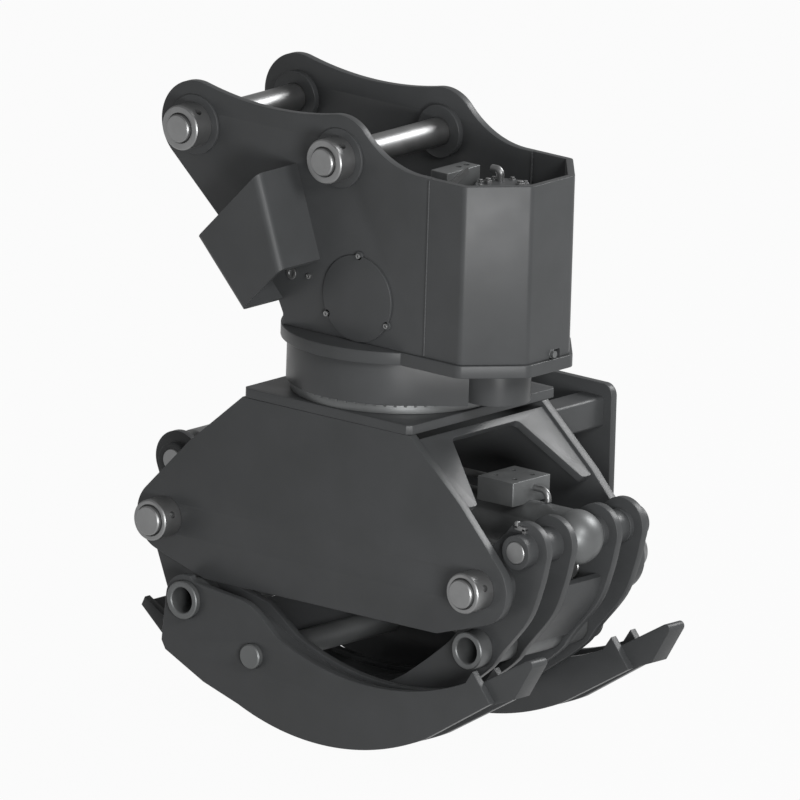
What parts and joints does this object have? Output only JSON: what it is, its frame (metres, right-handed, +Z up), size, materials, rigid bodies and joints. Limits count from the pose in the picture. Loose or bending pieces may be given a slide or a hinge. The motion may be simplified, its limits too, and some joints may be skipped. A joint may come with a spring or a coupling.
{
  "type": "log grapple",
  "caption": "Hydraulic log grapple with a two-pin carrier bracket, a powered slewing ring and two crossing tine arms driven by one cylinder.",
  "frame": {"origin": "on the slewing axis above the grapple, level with the two carrier pins", "axes": "+X towards the front box along the opening direction of the tines, +Y along the pins, +Z up"},
  "size_m": [1.3565, 0.8388, 1.5698],
  "materials": {
    "dark_paint": "satin charcoal coat on welded plate",
    "machine_steel": "grey machined steel with a thin dull coat",
    "pin_steel": "turned bright steel"
  },
  "bodies": {
    "headstock": {"cheek_near": "dark_paint", "cheek_far": "dark_paint", "front_box": "dark_paint", "base_plate": "dark_paint", "dipper_pin": "pin_steel", "link_pin": "pin_steel", "dipper_collar_near": "pin_steel", "dipper_collar_far": "pin_steel", "link_collar_near": "pin_steel", "link_collar_far": "pin_steel", "hose_guard": "dark_paint", "access_cover": "dark_paint", "slew_motor": "dark_paint", "slew_gearbox": "machine_steel", "drive_housing": "dark_paint", "valve_block": "machine_steel", "gear_casing": "dark_paint", "slew_race": "machine_steel", "rotary_manifold": "machine_steel"},
    "pinion": {"pinion": "machine_steel"},
    "lower_frame": {"ring_gear": "machine_steel", "top_plate": "dark_paint", "frame_side_near": "dark_paint", "frame_side_far": "dark_paint", "end_plate_left": "dark_paint", "end_plate_right": "dark_paint", "side_panel": "dark_paint", "panel_tube_left": "dark_paint", "panel_tube_right": "dark_paint", "left_pivot_near_pin": "pin_steel", "left_pivot_far_pin": "pin_steel", "right_pivot_near_pin": "pin_steel", "right_pivot_far_pin": "pin_steel", "left_pivot_near_collar": "pin_steel", "left_pivot_far_collar": "pin_steel", "right_pivot_near_collar": "pin_steel", "right_pivot_far_collar": "pin_steel"},
    "left_arm": {"left_tine_outer_near": "dark_paint", "left_tine_outer_far": "dark_paint", "left_tine_inner_near": "dark_paint", "left_tine_inner_far": "dark_paint", "left_lever_near": "dark_paint", "left_lever_far": "dark_paint", "left_cross_tube": "machine_steel", "left_cross_bar": "machine_steel", "left_back_plate": "dark_paint", "left_top_pin": "pin_steel"},
    "right_arm": {"right_leg_outer_near": "dark_paint", "right_leg_outer_far": "dark_paint", "right_leg_inner_near": "dark_paint", "right_leg_inner_far": "dark_paint", "right_cross_tube": "machine_steel", "right_cross_plate": "dark_paint", "right_top_pin": "pin_steel"},
    "barrel": {"cylinder_barrel": "machine_steel", "cylinder_gland": "machine_steel", "manifold_block": "machine_steel", "pipe_base_end": "pin_steel", "pipe_rod_end": "pin_steel"},
    "rod": {"cylinder_rod": "pin_steel"}
  },
  "joints": [
    {"name": "slew", "type": "hinge", "parent": "headstock", "child": "lower_frame", "pos_m": [0, 0, -0.615], "axis": [0, 0, 1], "continuous": true},
    {"name": "pinion_spin", "type": "hinge", "parent": "headstock", "child": "pinion", "pos_m": [0.32, 0, -0.54], "axis": [0, 0, 1], "continuous": true},
    {"name": "left_arm", "type": "hinge", "parent": "lower_frame", "child": "left_arm", "pos_m": [-0.499, 0, -0.985], "axis": [0, 1, 0], "range_deg": [0, 85]},
    {"name": "right_arm", "type": "hinge", "parent": "lower_frame", "child": "right_arm", "pos_m": [0.499, 0, -0.985], "axis": [0, 1, 0], "range_deg": [-85, 0]},
    {"name": "barrel_pin", "type": "hinge", "parent": "right_arm", "child": "barrel", "pos_m": [0.586, 0, -0.882], "axis": [0, 1, 0], "range_deg": [0, 85]},
    {"name": "rod_pin", "type": "hinge", "parent": "left_arm", "child": "rod", "pos_m": [-0.586, 0, -0.882], "axis": [0, 1, 0], "range_deg": [-85, 0]}
  ],
  "couplings": [
    {"joint": "pinion_spin", "follows": "slew", "ratio": -4},
    {"joint": "right_arm", "follows": "left_arm", "ratio": -1},
    {"joint": "barrel_pin", "follows": "left_arm", "ratio": 1},
    {"joint": "rod_pin", "follows": "left_arm", "ratio": -1}
  ]
}
